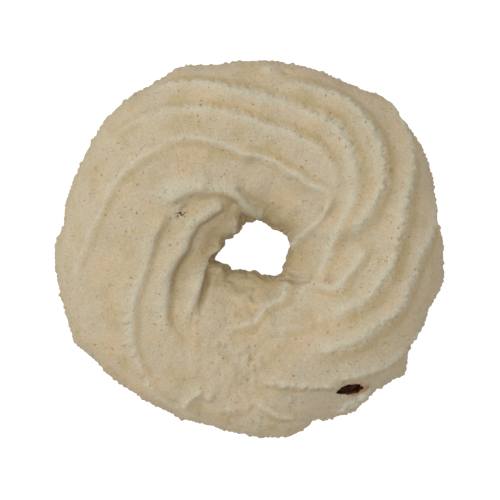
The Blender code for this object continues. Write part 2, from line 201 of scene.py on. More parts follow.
# Colour bands: fall of the pale crest (partly a painted highlight), the tan valley of painted shade in shares
# of the steep side's reach, and heights
PALE_FALL = 3.0
HOLLOW_OFFSET = 0.95
HOLLOW_REACH = 0.6
GROOVE_TONE_REACH = 0.6
TONE_HEIGHT = 0.75
# Tan towards the hole: painted shade on the strand's inner side, with less-dried dough
INNER_SHADE_AND_WARMTH = 0.95
INNER_TURN = 122.0
INNER_FADE = 30.0

# Crumbs: share of the half-size ones, and how much rougher the torn lip is
FINE_SHARE = 0.6
LIP_ROUGHNESS = 2.0

# Coarser crumbs: sizes against the fine ones, shares, sink, and offset and reach outside a crest
COARSE_CRUMBS = 1.1
SPLIT_CRUMBS = 0.5
SPLIT_SHARE = 0.8
RAGGED_SINK = 0.15
RAGGED_SHARE = 1.45
RAGGED_OFFSET = 0.5
RAGGED_REACH = 0.7
SMOOTH_TURN = 86.0
SMOOTH_FADE = 20.0

# Scalloped outline and rim of the hole: turns, sizes, heights against the ragged crumbs, and middle
FOOT_TURN = 30.0
RIM_TURN = 152.0
RIM_FADE = 14.0
RIM_SCALLOPS = 0.6
SCALLOP_SIZE = 0.75
LOBE_SIZE = 1.7
SCALLOP_SHARE = 3.3
LOBE_SHARE = 3.0
SCALLOP_MIDDLE = 0.26
UPRIGHT = (1.0, 1.0, 0.35)

# Crumbs of the lumpy stretch and of the torn lip: heights against the ragged crumbs, and sizes
END_ZONE_CRUMBS = 1.1
END_ZONE_SIZE = 1.1
LIP_CRUMBS = 4.0
LIP_CRUMB_SIZE = 1.1
LIP_SHARE = 0.5

# Torn pale crumbs below the slit, and dark cracks under a fold: angle, turn, reach along and across
Spot = namedtuple("Spot", "angle turn along across")
TORN_LIP = Spot(236.5, 22.0, 3.0, 1.6)
CRACKED = Spot(27.5, 111.0, 1.0, 0.9)

# Patches of noise: size in metres, the range of the noise that they fade in over, detail and roughness
Patch = namedtuple("Patch", "size low high detail roughness", defaults=(3.0, 0.5))
PEACH_PATCH = Patch(0.0065, 0.42, 0.62)
GOLDEN_PATCH = Patch(0.0042, 0.50, 0.68)
GOLDEN_DRAW = (1.0, 1.0, 1.6)
CLUSTER_PATCH = Patch(0.0035, 0.40, 0.55, 2.0)
GRAIN_PATCH = Patch(0.00028, 0.32, 0.68, 3.0, 0.75)
STAINED_PATCH = Patch(0.0006, 0.4, 0.65)
WRINKLE_PATCH = Patch(0.0011, 0.46, 0.66, 4.0, 0.6)
UNEVEN_SIZE = 0.0022

# Specks: size of the cells and radius in metres, and share of the cells with one. The long ones have the
# factors that draw them out first. Then their full core, and the size and push of the noise that bends them
Specks = namedtuple("Specks", "cell radius share")
FINE_MARKS = Specks(0.0009, 0.00014, 0.5)
LONG_MARKS = (((1.0, 0.5, 0.7), Specks(0.0009, 0.00014, 0.6)),
              ((0.5, 1.0, 0.7), Specks(0.0010, 0.00015, 0.6)))
ROUND_SPOTS = Specks(0.0021, 0.00024, 0.45)
LONG_SPOTS = ((0.6, 1.0, 1.0), Specks(0.0027, 0.00030, 0.4))
TOASTED_DOTS = Specks(0.0030, 0.00019, 0.3)
DOT_CORE = 0.4
BEND = (0.0007, 0.0006)

# Cracks: size in metres, half width in noise, and the range of the patches that they lie in
Cracks = namedtuple("Cracks", "size width low high")
HAIRLINES = Cracks(0.0016, 0.022, 0.60, 0.66)
OPEN_CRACKS = Cracks(0.0011, 0.06, 0.40, 0.48)
CRACK_CORE = 0.4
CRACK_PATCH = 0.8

# Shares of the colours, and ranges: from low, from high, to low, to high
TONE_UNEVEN = 1.2
GOLDEN_SHARE = 0.6
TORN_SHARE = 0.7
MARK_SHARE = 0.9
SPOT_SHARE = 0.75
TOASTED_SHARE = 0.5
HAIRLINE_SHARE = 0.22
# Wall range: painted shade on the lower walls
WALL_RANGE = (0.0085, 0.003, 0.0, 0.85)
GREY_ROUND_FRUIT_RANGE = (6.0, 1.2, 0.0, 0.55)
# Crest range: partly a painted highlight
CREST_RANGE = (0.12, 0.85, 0.0, 0.9)
# Valley range: painted shade with less-dried dough
HOLLOW_RANGE = (-0.15, -0.9, 0.0, 0.78)
GRAIN_SHADES = (0.84, 1.09)
CLUSTER_SHADES = (0.25, 1.0)
BROWNED_UNEVEN = 0.002
BROWNED_RANGE = (0.0012, 0.0, 0.0, 0.85)
STAIN_UNEVEN = 0.9
STAIN_LEAN = 0.09
STAIN_RANGE = (1.22, 0.98, 0.0, 0.8)

# Camera: straight above, framed as 500 pixels of 60 mm over 389
CAMERA_HEIGHT = 0.7
FRAME_WIDTH = 0.0771
SENSOR_WIDTH = 36.0
FRAME_SHIFT = (0.00008, -0.00008)
CLIP_START = 0.01
CLIP_END = 10.0

# Floor: half its side, and its place a hair below the base; it is seen only from above
FLOOR_SIZE = 3.0
FLOOR_DROP = 0.00005

# Square lights: side in metres and place
KEY_SIZE = 0.45
KEY_SPOT = (-0.45, 0.22, 0.44)
TOP_SIZE = 0.6
TOP_SPOT = (-0.1, 0.0, 0.75)


class CookieRingSettings(bpy.types.PropertyGroup):
    """Mesh and crumb of the strand"""
    ring_steps: IntProperty(name="Steps round the ring", description="Sections along the strand",
                            default=720, min=48)
    top_steps: IntProperty(name="Steps over the top", description="Mesh steps across the strand's top",
                           default=112, min=12)
    crumb_size: FloatProperty(name="Crumb size", description="Size of the fine crumbs on the surface",
                              default=0.0008, min=0.0002, unit="LENGTH", precision=5)
    crumb_height: FloatProperty(name="Crumb height", description="How far the fine crumbs stand out",
                                default=0.00009, min=0.0, unit="LENGTH", precision=5)
    ragged_height: FloatProperty(name="Ragged crumbs", description="Coarser crumbs on crests, foot and lip",
                                 default=0.00035, min=0.0, unit="LENGTH", precision=5)


class CookieDoughColors(bpy.types.PropertyGroup):
    """Colours of the baked dough, with painted highlight partly on the crests and painted shade in the
    valleys and on the lower walls
    """
    flat: FloatVectorProperty(name="Flat", description="Beige of the plain dough", subtype="COLOR",
                              size=4, default=(0.474, 0.406, 0.284, 1.0), min=0.0, max=1.0)
    # Pale cream of the ridge tops: partly the crumb's own paler colour, partly a painted highlight where
    # light catches the crests
    crest: FloatVectorProperty(name="Crest", description="Pale cream of the ridge tops", subtype="COLOR",
                               size=4, default=(0.512, 0.470, 0.348, 1.0), min=0.0, max=1.0)
    # Tan of the valleys: painted shade at the ridges' steep sides, in grooves and pits and on the hole side,
    # with less-dried dough; the golden patches use it as the dough's own colour
    tan_and_shade: FloatVectorProperty(name="Hollow", description="Tan of the valleys", subtype="COLOR",
                                size=4, default=(0.430, 0.338, 0.180, 1.0), min=0.0, max=1.0)
    blush: FloatVectorProperty(name="Blush", description="Peach patches of the dough", subtype="COLOR",
                               size=4, default=(0.506, 0.404, 0.264, 1.0), min=0.0, max=1.0)
    speck: FloatVectorProperty(name="Speck", description="Toasted specks", subtype="COLOR",
                               size=4, default=(0.34, 0.165, 0.042, 1.0), min=0.0, max=1.0)
    crack: FloatVectorProperty(name="Crack", description="Dark red-brown of the open cracks", subtype="COLOR",
                               size=4, default=(0.075, 0.028, 0.012, 1.0), min=0.0, max=1.0)
    toast: FloatVectorProperty(name="Toast", description="Golden orange spots", subtype="COLOR",
                               size=4, default=(0.50, 0.315, 0.095, 1.0), min=0.0, max=1.0)
    pore: FloatVectorProperty(name="Pore", description="Dark pores and hairline cracks", subtype="COLOR",
                              size=4, default=(0.085, 0.060, 0.030, 1.0), min=0.0, max=1.0)
    # Greyer beige of the lower walls: painted shade, darker and greyer towards the base where the walls face
    # away from the light
    wall: FloatVectorProperty(name="Wall", description="Greyer beige of the lower walls", subtype="COLOR",
                              size=4, default=(0.436, 0.354, 0.230, 1.0), min=0.0, max=1.0)
    grey_round_fruit: FloatVectorProperty(name="Greyish", description="Greyer dough round the fruit", subtype="COLOR",
                              size=4, default=(0.405, 0.362, 0.275, 1.0), min=0.0, max=1.0)
    torn: FloatVectorProperty(name="Torn crumb", description="Whitish crumbs below the slit",
                              subtype="COLOR", size=4, default=(0.60, 0.575, 0.475, 1.0), min=0.0, max=1.0)
    base: FloatVectorProperty(name="Baked base", description="Browned underside", subtype="COLOR",
                              size=4, default=(0.36, 0.235, 0.10, 1.0), min=0.0, max=1.0)


class CookieFruitSettings(bpy.types.PropertyGroup):
    """The dark piece of fruit in the wall"""
    flesh: FloatVectorProperty(name="Flesh", description="Dark red-brown of the fruit", subtype="COLOR",
                               size=4, default=(0.020, 0.005, 0.0025, 1.0), min=0.0, max=1.0)
    fold: FloatVectorProperty(name="Fold", description="Lighter red-brown on its wrinkles",
                              subtype="COLOR", size=4, default=(0.120, 0.026, 0.009, 1.0), min=0.0, max=1.0)
    stain: FloatVectorProperty(name="Stain", description="Orange-brown dough round the fruit",
                               subtype="COLOR", size=4, default=(0.30, 0.12, 0.035, 1.0), min=0.0, max=1.0)
    wrinkle: FloatProperty(name="Wrinkle", description="Depth of the fruit's wrinkles",
                           default=0.0002, min=0.0, unit="LENGTH", precision=5)


class CookieStageSettings(bpy.types.PropertyGroup):
    """Floor, light and camera"""
    floor_color: FloatVectorProperty(name="Floor", description="Colour of the floor", subtype="COLOR",
                                     size=4, default=(0.12, 0.12, 0.12, 1.0), min=0.0, max=1.0)
    floor_glow: FloatProperty(name="Floor glow", description="Light of the floor, as on a light table",
                              default=1.0, min=0.0)
    sky: FloatProperty(name="Sky", description="Brightness of the soft light from all round",
                       default=0.45, min=0.0)
    sky_color: FloatVectorProperty(name="Sky color", description="Warm white of the light from all round",
                                   subtype="COLOR", size=4, default=(1.0, 0.965, 0.93, 1.0), min=0.0, max=1.0)
    key_color: FloatVectorProperty(name="Key color", description="Cool white of the light from the left",
                                   subtype="COLOR", size=3, default=(0.97, 0.975, 1.0), min=0.0, max=1.0)
    key_watts: FloatProperty(name="Key light", description="Power of the soft light from the left",
                             default=1.4, min=0.0, unit="POWER")
    top_watts: FloatProperty(name="Top light", description="Power of the soft light overhead",
                             default=3.5, min=0.0, unit="POWER")


def through(values, place, closed=False):
    """Smooth curve through evenly spaced values; place runs from 0 to 1."""
    values = np.asarray(values, dtype=float)
    count = len(values)
    steps = count if closed else count - 1
    position = (place % 1.0 if closed else np.clip(place, 0.0, 1.0)) * steps
    first = np.minimum(np.floor(position).astype(int), steps - 1)
    part = position - first
    picks = [(first + step) % count if closed else np.clip(first + step, 0, count - 1)
             for step in (-1, 0, 1, 2)]
    before, start, end, after = (values[pick] for pick in picks)
    return 0.5 * (2.0 * start + (end - before) * part
                  + (2.0 * before - 5.0 * start + 4.0 * end - after) * part ** 2
                  + (3.0 * (start - end) + after - before) * part ** 3)


def smooth_step(value):
    value = np.clip(value, 0.0, 1.0)
    return value * value * (3.0 - 2.0 * value)


def angle_apart(angle, other):
    """Signed ring angle from other to angle, between -180 and 180."""
    return (angle - other + 180.0) % 360.0 - 180.0


def half_width(angle):
    outer = through(OUTER_RADII, angle / 360.0, closed=True)
    hole = through(HOLE_RADII, angle / 360.0, closed=True)
    return (outer - hole) / 2.0


def along_line(line, angle, turn, arc, radius):
    """Place along a ridge or groove, its fade at both ends, and the distance across it."""
    travelled = (angle - line.start + 2.0 * FADE_IN) % 360.0 - 2.0 * FADE_IN
    place = np.clip(travelled / line.span, 0.0, 1.0)
    fade = smooth_step(travelled / FADE_IN + 0.5) * smooth_step((line.span - travelled) / FADE_OUT + 0.5)
    rise = through(line.turns, place + LEAN_STEP) - through(line.turns, place - LEAN_STEP)
    lean = rise / (2.0 * LEAN_STEP * line.span) * arc / (np.radians(1.0) * radius)
    return place, fade, (turn - through(line.turns, place)) * arc / np.sqrt(1.0 + lean ** 2)


def pit_share(pit, angle, turn, arc, radius):
    """Share of a pit's depth at a ring angle and turn."""
    across = (turn - pit.turn) * arc
    along = np.radians(angle_apart(angle, pit.angle)) * radius
    return np.exp(-(across ** 2 + along ** 2) / pit.reach ** 2)


def fold_share(fold, angle, turn, radius):
    """Share of a fold's height at a ring angle and turn."""
    place = (turn - fold.first) / (fold.last - fold.first)
    fade = smooth_step(place * FOLD_FADES + 0.5) * smooth_step((1.0 - place) * FOLD_FADES + 0.5)
    away = np.radians(angle_apart(angle, through(fold.angles, place))) * radius
    return fade * np.exp(-(away / fold.reach) ** 2)


def wobble(angle):
    """Unsteady hand of whoever piped it, in degrees of turn."""
    fast, slow = (np.sin(np.radians(angle * waves)) for waves in WOBBLE_WAVES)
    return NOZZLE_WOBBLE * fast * slow


def relief(angle, turn):
    """Height of the piped surface over the plain section, at a ring angle and turn."""
    arc = np.radians(1.0) * half_width(angle)
    radius = half_width(angle) * (1.0 + np.cos(np.radians(turn))) + INNER_MARGIN
    height = np.full_like(turn, -MEAN_RELIEF)
    for ridge in RIDGES:
        place, fade, distance = along_line(ridge, angle, turn + wobble(angle), arc, radius)
        reach = np.where(distance < 0.0, ridge.reach[0], ridge.reach[1])
        height += through(ridge.heights, place) * fade * np.exp(-np.abs(distance / reach) ** ridge.power)
    for groove in GROOVES:
        place, fade, distance = along_line(groove, angle, turn, arc, radius)
        reach = groove.reach[0] + (groove.reach[1] - groove.reach[0]) * place
        height -= through(groove.depths, place) * fade * np.exp(-(distance / reach) ** 2)
    for pit in PITS:
        height -= pit.depth * pit_share(pit, angle, turn, arc, radius)
    for fold in FOLDS:
        height += fold.height * fold_share(fold, angle, turn, radius)
    return height + seam(angle, turn)


def ridge_tone_and_shading(angle, turn):
    """Colour place across the ridges: 1 on a pale crest, partly paler crumb and partly a painted highlight,
    -1 in a tan valley at its steep side, painted shade with less-dried dough.
    """
    arc = np.radians(1.0) * half_width(angle)
    radius = half_width(angle) * (1.0 + np.cos(np.radians(turn))) + INNER_MARGIN
    pale = np.zeros_like(turn)
    tan_and_shade = np.zeros_like(turn)
    for ridge in RIDGES:
        place, fade, distance = along_line(ridge, angle, turn + wobble(angle), arc, radius)
        strength = fade * np.clip(through(ridge.heights, place) / TONE_HEIGHT, 0.0, 1.0)
        reach = np.where(distance < 0.0, ridge.reach[0], ridge.reach[1])
        # Pale crest: partly paler crumb, partly a painted highlight on the ridge tops
        pale = np.maximum(pale, strength * np.exp(-PALE_FALL * np.abs(distance / reach) ** ridge.power))
        # Painted shade: the tan valley lies just past the ridge's steep side, where its shade falls
        narrow = min(ridge.reach)
        steepwards = -distance if ridge.reach[0] == narrow else distance
        away = (steepwards / narrow - HOLLOW_OFFSET) / HOLLOW_REACH
        tan_and_shade = np.maximum(tan_and_shade, strength * np.exp(-away ** 2))
    # Painted shade in the grooves
    for groove in GROOVES:
        place, fade, distance = along_line(groove, angle, turn, arc, radius)
        strength = fade * np.clip(through(groove.depths, place), 0.0, 1.0)
        tan_and_shade = np.maximum(tan_and_shade, strength * np.exp(-(distance / GROOVE_TONE_REACH) ** 2))
    # Raised folds and lumps get the pale colour, partly a painted highlight; sunk folds and pits get the tan,
    # painted shade
    raised = [(fold.height, fold_share(fold, angle, turn, radius)) for fold in FOLDS]
    raised += [(-pit.depth, pit_share(pit, angle, turn, arc, radius)) for pit in PITS]
    for height, share in raised:
        strength = min(abs(height) / TONE_HEIGHT, 1.0) * share ** 2
        if height > 0.0:
            pale = np.maximum(pale, strength)
        else:
            tan_and_shade = np.maximum(tan_and_shade, strength)
    # Hole side: tan of painted shade with less-dried dough
    inner = INNER_SHADE_AND_WARMTH * smooth_step((turn - INNER_TURN) / INNER_FADE)
    return pale - np.maximum(tan_and_shade, inner) * (1.0 - pale)


def seam(angle, turn):
    """Raised end of the strand."""
    before = -angle_apart(angle, through(SEAM_ANGLES, turn / 180.0))
    fall = np.clip(1.0 - before / SEAM_LENGTH, 0.0, 1.0)
    return SEAM_STEP * smooth_step(before / SEAM_SOFTNESS + 0.5) * fall


def end_zone(angle):
    """Share of the lumpy stretch before the seam at a ring angle."""
    return np.clip(1.0 - np.abs(angle_apart(angle, END_ZONE_ANGLE)) / END_ZONE_REACH, 0.0, 1.0)


def rough(points, size):
    """Noise in space with features of a size, one value a point."""
    return np.array([noise.noise(Vector(point) / size) for point in points])


def lumps(points, angle):
    """Uneven dough: slow noise in space, stronger in the lumpy stretch."""
    height = np.zeros(len(points))
    for size, strength in LUMPS:
        height += (strength + END_ZONE_LUMPS * end_zone(angle)) * rough(points, size)
    return height


def section(angle, turn, drop):
    """Plain strand: turn over the top, drop from 0 at the widest level to 1 at the base."""
    outer = through(OUTER_RADII, angle / 360.0, closed=True) - RELIEF_INSET
    foot = smooth_step(1.0 - turn / BUMP_TURN)
    for bump in EDGE_BUMPS:
        outer = outer + foot * bump.height * np.exp(-(angle_apart(angle, bump.angle) / bump.spread) ** 2)
    hole = through(HOLE_RADII, angle / 360.0, closed=True)
    top = through(TOP_HEIGHTS, angle / 360.0, closed=True)
    sideways = np.cos(np.radians(turn))
    upwards = np.clip(np.sin(np.radians(turn)), 0.0, 1.0)
    tuck = np.where(turn < 90.0, OUTER_TUCK, -HOLE_TUCK) * (1.0 - np.sqrt(1.0 - drop ** 2))
    radius = (outer + hole) / 2.0 + (outer - hole) / 2.0 * sideways - tuck
    level = WIDEST_LEVEL * (1.0 - drop) + (top - WIDEST_LEVEL) * upwards ** SHOULDER_POWER
    return radius, level, sideways, upwards


def ring_place(angle, radius, level):
    theta = np.radians(180.0 - angle)
    return np.stack((radius * np.cos(theta), radius * np.sin(theta), level), axis=-1)


def crest_edge(angle, turn):
    """Share of the ragged outer edge of the stronger ridges at a ring angle and turn."""
    arc = np.radians(1.0) * half_width(angle)
    radius = half_width(angle) * (1.0 + np.cos(np.radians(turn))) + INNER_MARGIN
    edge = np.zeros_like(turn)
    for ridge in RIDGES:
        place, fade, distance = along_line(ridge, angle, turn + wobble(angle), arc, radius)
        strength = fade * np.clip(through(ridge.heights, place) / TONE_HEIGHT, 0.0, 1.0)
        edge = np.maximum(edge, strength ** 2 * np.exp(-((distance + RAGGED_OFFSET) / RAGGED_REACH) ** 2))
    return edge * smooth_step((SMOOTH_TURN - turn) / SMOOTH_FADE)


def spot_share(spot, angle, turn):
    """Share of a spot of the surface: 1 at its middle, 0 outside it."""
    radius = half_width(angle) * (1.0 + np.cos(np.radians(turn))) + INNER_MARGIN
    along = np.radians(angle_apart(angle, spot.angle)) * radius / spot.along
    across = (turn - spot.turn) * np.radians(1.0) * half_width(angle) / spot.across
    return np.exp(-(along ** 2 + across ** 2) ** 2)


def crumbs(points, angle, turn, settings):
    """Crumb height: fine all over, coarser on crest edges, end zone and torn lip, scalloped at the rims."""
    size = settings.crumb_size / MM
    fine = rough(points, size) + FINE_SHARE * rough(points, size * 0.5)
    lip = spot_share(TORN_LIP, angle, turn)
    split = rough(points, size * COARSE_CRUMBS) + SPLIT_SHARE * rough(points, size * SPLIT_CRUMBS)
    torn = rough(points, LIP_CRUMB_SIZE) + LIP_SHARE * rough(points, LIP_CRUMB_SIZE * 0.5)
    coarse = (split - RAGGED_SINK) * RAGGED_SHARE * crest_edge(angle, turn)
    coarse += LIP_CRUMBS * lip * torn
    coarse += END_ZONE_CRUMBS * end_zone(angle) * rough(points, END_ZONE_SIZE)
    foot = smooth_step((FOOT_TURN - turn) / FOOT_TURN)
    rim = smooth_step((turn - RIM_TURN) / RIM_FADE)
    upright = points * np.array(UPRIGHT)
    scallops = np.abs(rough(upright, SCALLOP_SIZE)) - SCALLOP_MIDDLE
    lobes = np.abs(rough(upright, LOBE_SIZE)) - SCALLOP_MIDDLE
    coarse += SCALLOP_SHARE * (foot + RIM_SCALLOPS * rim) * scallops + LOBE_SHARE * rim * lobes
    return (settings.crumb_height * fine * (1.0 + LIP_ROUGHNESS * lip) + settings.ragged_height * coarse) / MM


def surface(angle, turn, drop, settings=None):
    """Finished surface of the strand above its base, with crumbs where settings are given."""
    radius, level, sideways, upwards = section(angle, turn, drop)
    plain = ring_place(angle, radius, level)
    height = (relief(angle, turn) + lumps(plain, angle)) * (1.0 - drop)
    if settings is not None:
        height = height + crumbs(plain, angle, turn, settings)
    radius = radius + height * SIDEWAYS_SHARE * sideways
    level = level + height * upwards
    return ring_place(angle, radius, level)


def section_steps(step, top, foot, base):
    """Turn, drop and share across the base, for a step round the section."""
    if step <= top:
        share = step / top
        return 180.0 * share + EDGE_CROWDING * math.sin(math.tau * share), 0.0, 0.0
    step -= top
    if step <= foot:
        return 180.0, step / foot, 0.0
    step -= foot
    if step <= base:
        return 180.0, 1.0, step / base
    return 0.0, 1.0 - (step - base) / foot, 1.0


def link_mesh(name, mesh):
    obj = bpy.data.objects.new(name, mesh)
    bpy.context.scene.collection.objects.link(obj)
    return obj


def rolled_tube(ring_steps, section_count):
    """Closed tube about Z: a grid rolled up both ways, with its borders merged."""
    tube = bmesh.new()
    bmesh.ops.create_grid(tube, x_segments=ring_steps, y_segments=section_count, size=0.5)
    for vertex in tube.verts:
        along = math.tau * vertex.co.x
        across = math.tau * vertex.co.y
        radius = 1.0 + TUBE_RADIUS * math.cos(across)
        vertex.co = (radius * math.cos(along), radius * math.sin(along), TUBE_RADIUS * math.sin(across))
    bmesh.ops.remove_doubles(tube, verts=tube.verts[:], dist=MERGE_DISTANCE)
    bmesh.ops.recalc_face_normals(tube, faces=tube.faces[:])
    mesh = bpy.data.meshes.new("cookie_dough")
    tube.to_mesh(mesh)
    tube.free()
    return mesh


def shape_strand(mesh, settings):
    """Move the tube's points onto the piped strand and store the colour places."""
    count = len(mesh.vertices)
    corners = np.empty(count * 3)
    mesh.vertices.foreach_get("co", corners)
    corners = corners.reshape(-1, 3)
    steps = settings.top_steps + 2 * FOOT_STEPS + BASE_STEPS
    angle = (180.0 - np.degrees(np.arctan2(corners[:, 1], corners[:, 0]))) % 360.0
    outwards = np.hypot(corners[:, 0], corners[:, 1]) - 1.0
    step = np.round(np.arctan2(corners[:, 2], outwards) / math.tau * steps).astype(int) % steps
    table = np.array([section_steps(one, settings.top_steps, FOOT_STEPS, BASE_STEPS)
                      for one in range(steps)])
    turn, drop, under = table[step].T
    points = surface(angle, turn, drop, settings)
    on_base = drop == 1.0
    inner, outer = [surface(angle[on_base], np.full(on_base.sum(), end), np.ones(on_base.sum()))
                    for end in (180.0, 0.0)]
    points[on_base] = inner + (outer - inner) * under[on_base, None]
    points[on_base, 2] = 0.0
    low, high = points.min(axis=0), points.max(axis=0)
    middle = np.array((RING_BOX[0] + RING_BOX[1]) / 2.0) / MM
    centre = (low + high) / 2.0 - middle
    centre[2] = 0.0
    points = np.clip((points - centre) * MM, RING_BOX[0], RING_BOX[1])
    mesh.vertices.foreach_set("co", points.ravel())
    shares = (("ridge_tone_and_shading", ridge_tone_and_shading(angle, turn)), ("torn_lip", spot_share(TORN_LIP, angle, turn)),
              ("cracked", spot_share(CRACKED, angle, turn)))
    for name, values in shares:
        mesh.attributes.new(name, "FLOAT", "POINT").data.foreach_set("value", values * (1.0 - drop))
    mesh.update()
    return centre


def fruit_frame(centre, depth):
    """Matrix of the fruit piece: X along the wall, Y down its slope, Z out of it, at a depth in mm."""
    angle = np.array([FRUIT_ANGLE])
    turn = np.array([FRUIT_TURN])
    level = np.zeros(1)
    here = surface(angle, turn, level)[0]
    along = surface(angle + ALONG_STEP, turn, level)[0] - here
    down = surface(angle, turn - DOWN_STEP, level)[0] - surface(angle, turn + DOWN_STEP, level)[0]
    along = Vector(along).normalized()
    outwards = along.cross(Vector(down)).normalized()
    if outwards.z < 0.0:
        outwards.negate()
    down = outwards.cross(along).normalized()
    turned = Matrix((along, down, outwards)).transposed().to_4x4()
    middle = Vector(here - centre) - outwards * depth
    return Matrix.Translation(middle * MM) @ turned @ Matrix.Rotation(math.radians(FRUIT_ROLL), 4, "Z")


def ball_mesh(name, semi_axes, place, detail, swell):
    """Ball with semi-axes in mm, moved out or in by swell, placed by a matrix."""
    ball = bmesh.new()
    bmesh.ops.create_icosphere(ball, subdivisions=detail, radius=1.0)
    for vertex in ball.verts:
        stretched = Vector(axis * value for axis, value in zip(semi_axes, vertex.co))
        vertex.co = place @ (stretched * MM * (1.0 + swell(vertex.co)))
    mesh = bpy.data.meshes.new(name)
    ball.to_mesh(mesh)
    ball.free()
    mesh.shade_smooth()
    return mesh


def pocket_swell(spot):
    """How far the pocket's wall stands out or in at a spot of the unit ball."""
    (lump_scale, lump_share), (crumb_scale, crumb_share) = POCKET_LUMPS, POCKET_CRUMBS
    return lump_share * noise.noise(spot * lump_scale) + crumb_share * noise.noise(spot * crumb_scale)


def fruit_swell(spot):
    """Lumps, folds and creases of the fruit at a spot of the unit ball."""
    (fold_scale, fold_share), (crease_scale, crease_share) = FRUIT_FOLDS, FRUIT_CREASES
    return (noise.noise(spot * FRUIT_LUMPS) + fold_share * noise.noise(spot * fold_scale)
            - crease_share * abs(noise.noise(spot * crease_scale)))


def node(tree, kind, **values):
    """New node with its sockets and fields set by name."""
    made = tree.nodes.new(kind)
    for key, value in values.items():
        socket = made.inputs.get(key.replace("_", " "))
        if socket is not None:
            socket.default_value = value
        else:
            setattr(made, key, value)
    return made


def mix_color(tree, factor, first, second, blend="MIX"):
    """Mix node of two colours or sockets by a factor or socket."""
    mix = tree.nodes.new("ShaderNodeMix")
    mix.data_type = "RGBA"
    mix.blend_type = blend
    for index, value in ((0, factor), (6, first), (7, second)):
        if isinstance(value, bpy.types.NodeSocket):
            tree.links.new(value, mix.inputs[index])
        else:
            mix.inputs[index].default_value = value
    return mix.outputs[2]


def remap(tree, value, low, high, to_low=0.0, to_high=1.0):
    """Clamped map of a socket from one range to another."""
    mapped = node(tree, "ShaderNodeMapRange", From_Min=low, From_Max=high, To_Min=to_low, To_Max=to_high)
    tree.links.new(value, mapped.inputs["Value"])
    return mapped.outputs["Result"]


def combine(tree, operation, first, second):
    """Math node of two sockets or numbers."""
    made = node(tree, "ShaderNodeMath", operation=operation)
    for index, value in enumerate((first, second)):
        if isinstance(value, bpy.types.NodeSocket):
            tree.links.new(value, made.inputs[index])
        else:
            made.inputs[index].default_value = value
    return made.outputs["Value"]


def noise_value(tree, place, size, detail=2.0, roughness=0.5):
    """Noise with features of a size in metres, read at object coordinates."""
    made = node(tree, "ShaderNodeTexNoise", Scale=1.0 / size, Detail=detail, Roughness=roughness)
    tree.links.new(place, made.inputs["Vector"])
    return made.outputs["Fac"]


def patches(tree, place, patch, to_low=0.0, to_high=1.0):
    """Clamped noise in patches."""
    value = noise_value(tree, place, patch.size, patch.detail, patch.roughness)
    return remap(tree, value, patch.low, patch.high, to_low, to_high)


def specks(tree, place, kind):
    """Small round dots: one in a cell, in a share of the cells."""
    cells = node(tree, "ShaderNodeTexVoronoi", Scale=1.0 / kind.cell)
    tree.links.new(place, cells.inputs["Vector"])
    dot = remap(tree, cells.outputs["Distance"], kind.radius / kind.cell, kind.radius * DOT_CORE / kind.cell)
    split = tree.nodes.new("ShaderNodeSeparateColor")
    tree.links.new(cells.outputs["Color"], split.inputs["Color"])
    chosen = combine(tree, "LESS_THAN", split.outputs["Red"], kind.share)
    return combine(tree, "MULTIPLY", dot, chosen)


def bent_place(tree, place, size, shift):
    """Object coordinates pushed about by noise, so that marks read at them aren't round."""
    cloud = node(tree, "ShaderNodeTexNoise", Scale=1.0 / size, Detail=2.0)
    tree.links.new(place, cloud.inputs["Vector"])
    moved = node(tree, "ShaderNodeVectorMath", operation="MULTIPLY_ADD")
    tree.links.new(cloud.outputs["Color"], moved.inputs[0])
    moved.inputs[1].default_value = (shift, shift, shift)
    tree.links.new(place, moved.inputs[2])
    return moved.outputs["Vector"]


def stretched(tree, place, factors):
    """Object coordinates scaled along the axes, so that round marks read at them are drawn out."""
    scaled = node(tree, "ShaderNodeVectorMath", operation="MULTIPLY")
    tree.links.new(place, scaled.inputs[0])
    scaled.inputs[1].default_value = factors
    return scaled.outputs["Vector"]


def cracks(tree, place, kind):
    """Short thin cracks: where one noise passes its middle, in patches of another."""
    middle = combine(tree, "SUBTRACT", noise_value(tree, place, kind.size, 1.0), 0.5)
    line = remap(tree, combine(tree, "ABSOLUTE", middle, 0.0), kind.width, kind.width * CRACK_CORE)
    where = patches(tree, place, Patch(kind.size * CRACK_PATCH, kind.low, kind.high, 1.0))
    return combine(tree, "MULTIPLY", line, where)


def new_material(name, roughness):
    material = bpy.data.materials.new(name)
    material.use_nodes = True
    shader = material.node_tree.nodes["Principled BSDF"]
    shader.inputs["Roughness"].default_value = roughness
    return material, material.node_tree, shader


